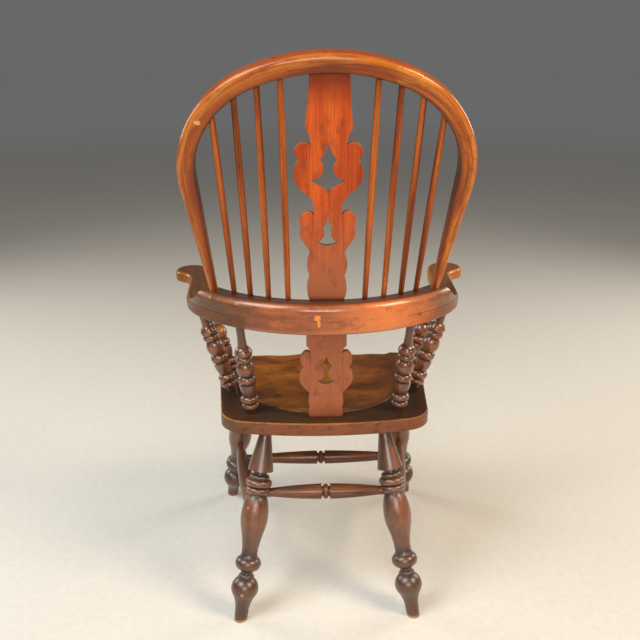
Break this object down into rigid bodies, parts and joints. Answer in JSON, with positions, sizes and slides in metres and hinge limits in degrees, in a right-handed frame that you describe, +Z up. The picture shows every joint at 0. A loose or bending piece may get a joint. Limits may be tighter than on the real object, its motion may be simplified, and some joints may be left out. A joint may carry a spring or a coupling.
{
  "type": "windsor armchair",
  "caption": "Wooden windsor armchair with a raked hoop back, pierced splat and spindles, three-piece arm bow, turned arm posts, dished plank seat and turned splayed legs with stretchers.",
  "frame": {"origin": "on the floor, in the middle of the chair's width and depth", "axes": "+Z up, -Y the way the sitter faces, +X to the sitter's left"},
  "size_m": [0.6802, 0.6198, 1.1471],
  "materials": {
    "seat_wood": "old polish, worn in the dish",
    "bow_wood": "glossy old polish",
    "hoop_wood": "glossy old polish",
    "spindle_wood": "satin old polish",
    "splat_wood": "satin old polish",
    "turned_wood": "glossy dark polish"
  },
  "bodies": {
    "root": {"arm_left": "bow_wood", "arm_right": "bow_wood", "back_rail": "bow_wood", "front_arm_post_left": "turned_wood", "front_arm_post_right": "turned_wood", "front_leg_left": "turned_wood", "front_leg_right": "turned_wood", "hoop": "hoop_wood", "lower_splat": "splat_wood", "middle_stretcher": "turned_wood", "rear_arm_post_left": "turned_wood", "rear_arm_post_right": "turned_wood", "rear_leg_left": "turned_wood", "rear_leg_right": "turned_wood", "rear_stretcher": "turned_wood", "seat": "seat_wood", "side_arm_post_left": "turned_wood", "side_arm_post_right": "turned_wood", "side_stretcher_left": "turned_wood", "side_stretcher_right": "turned_wood", "spindle_1_left": "spindle_wood", "spindle_1_right": "spindle_wood", "spindle_2_left": "spindle_wood", "spindle_2_right": "spindle_wood", "spindle_3_left": "spindle_wood", "spindle_3_right": "spindle_wood", "spindle_4_left": "spindle_wood", "spindle_4_right": "spindle_wood", "splat_lower_ear_left": "splat_wood", "splat_lower_ear_right": "splat_wood", "splat_middle_ear_left": "splat_wood", "splat_middle_ear_right": "splat_wood", "splat_top_ear_left": "splat_wood", "splat_top_ear_right": "splat_wood", "upper_splat": "splat_wood"}
  },
  "joints": []
}
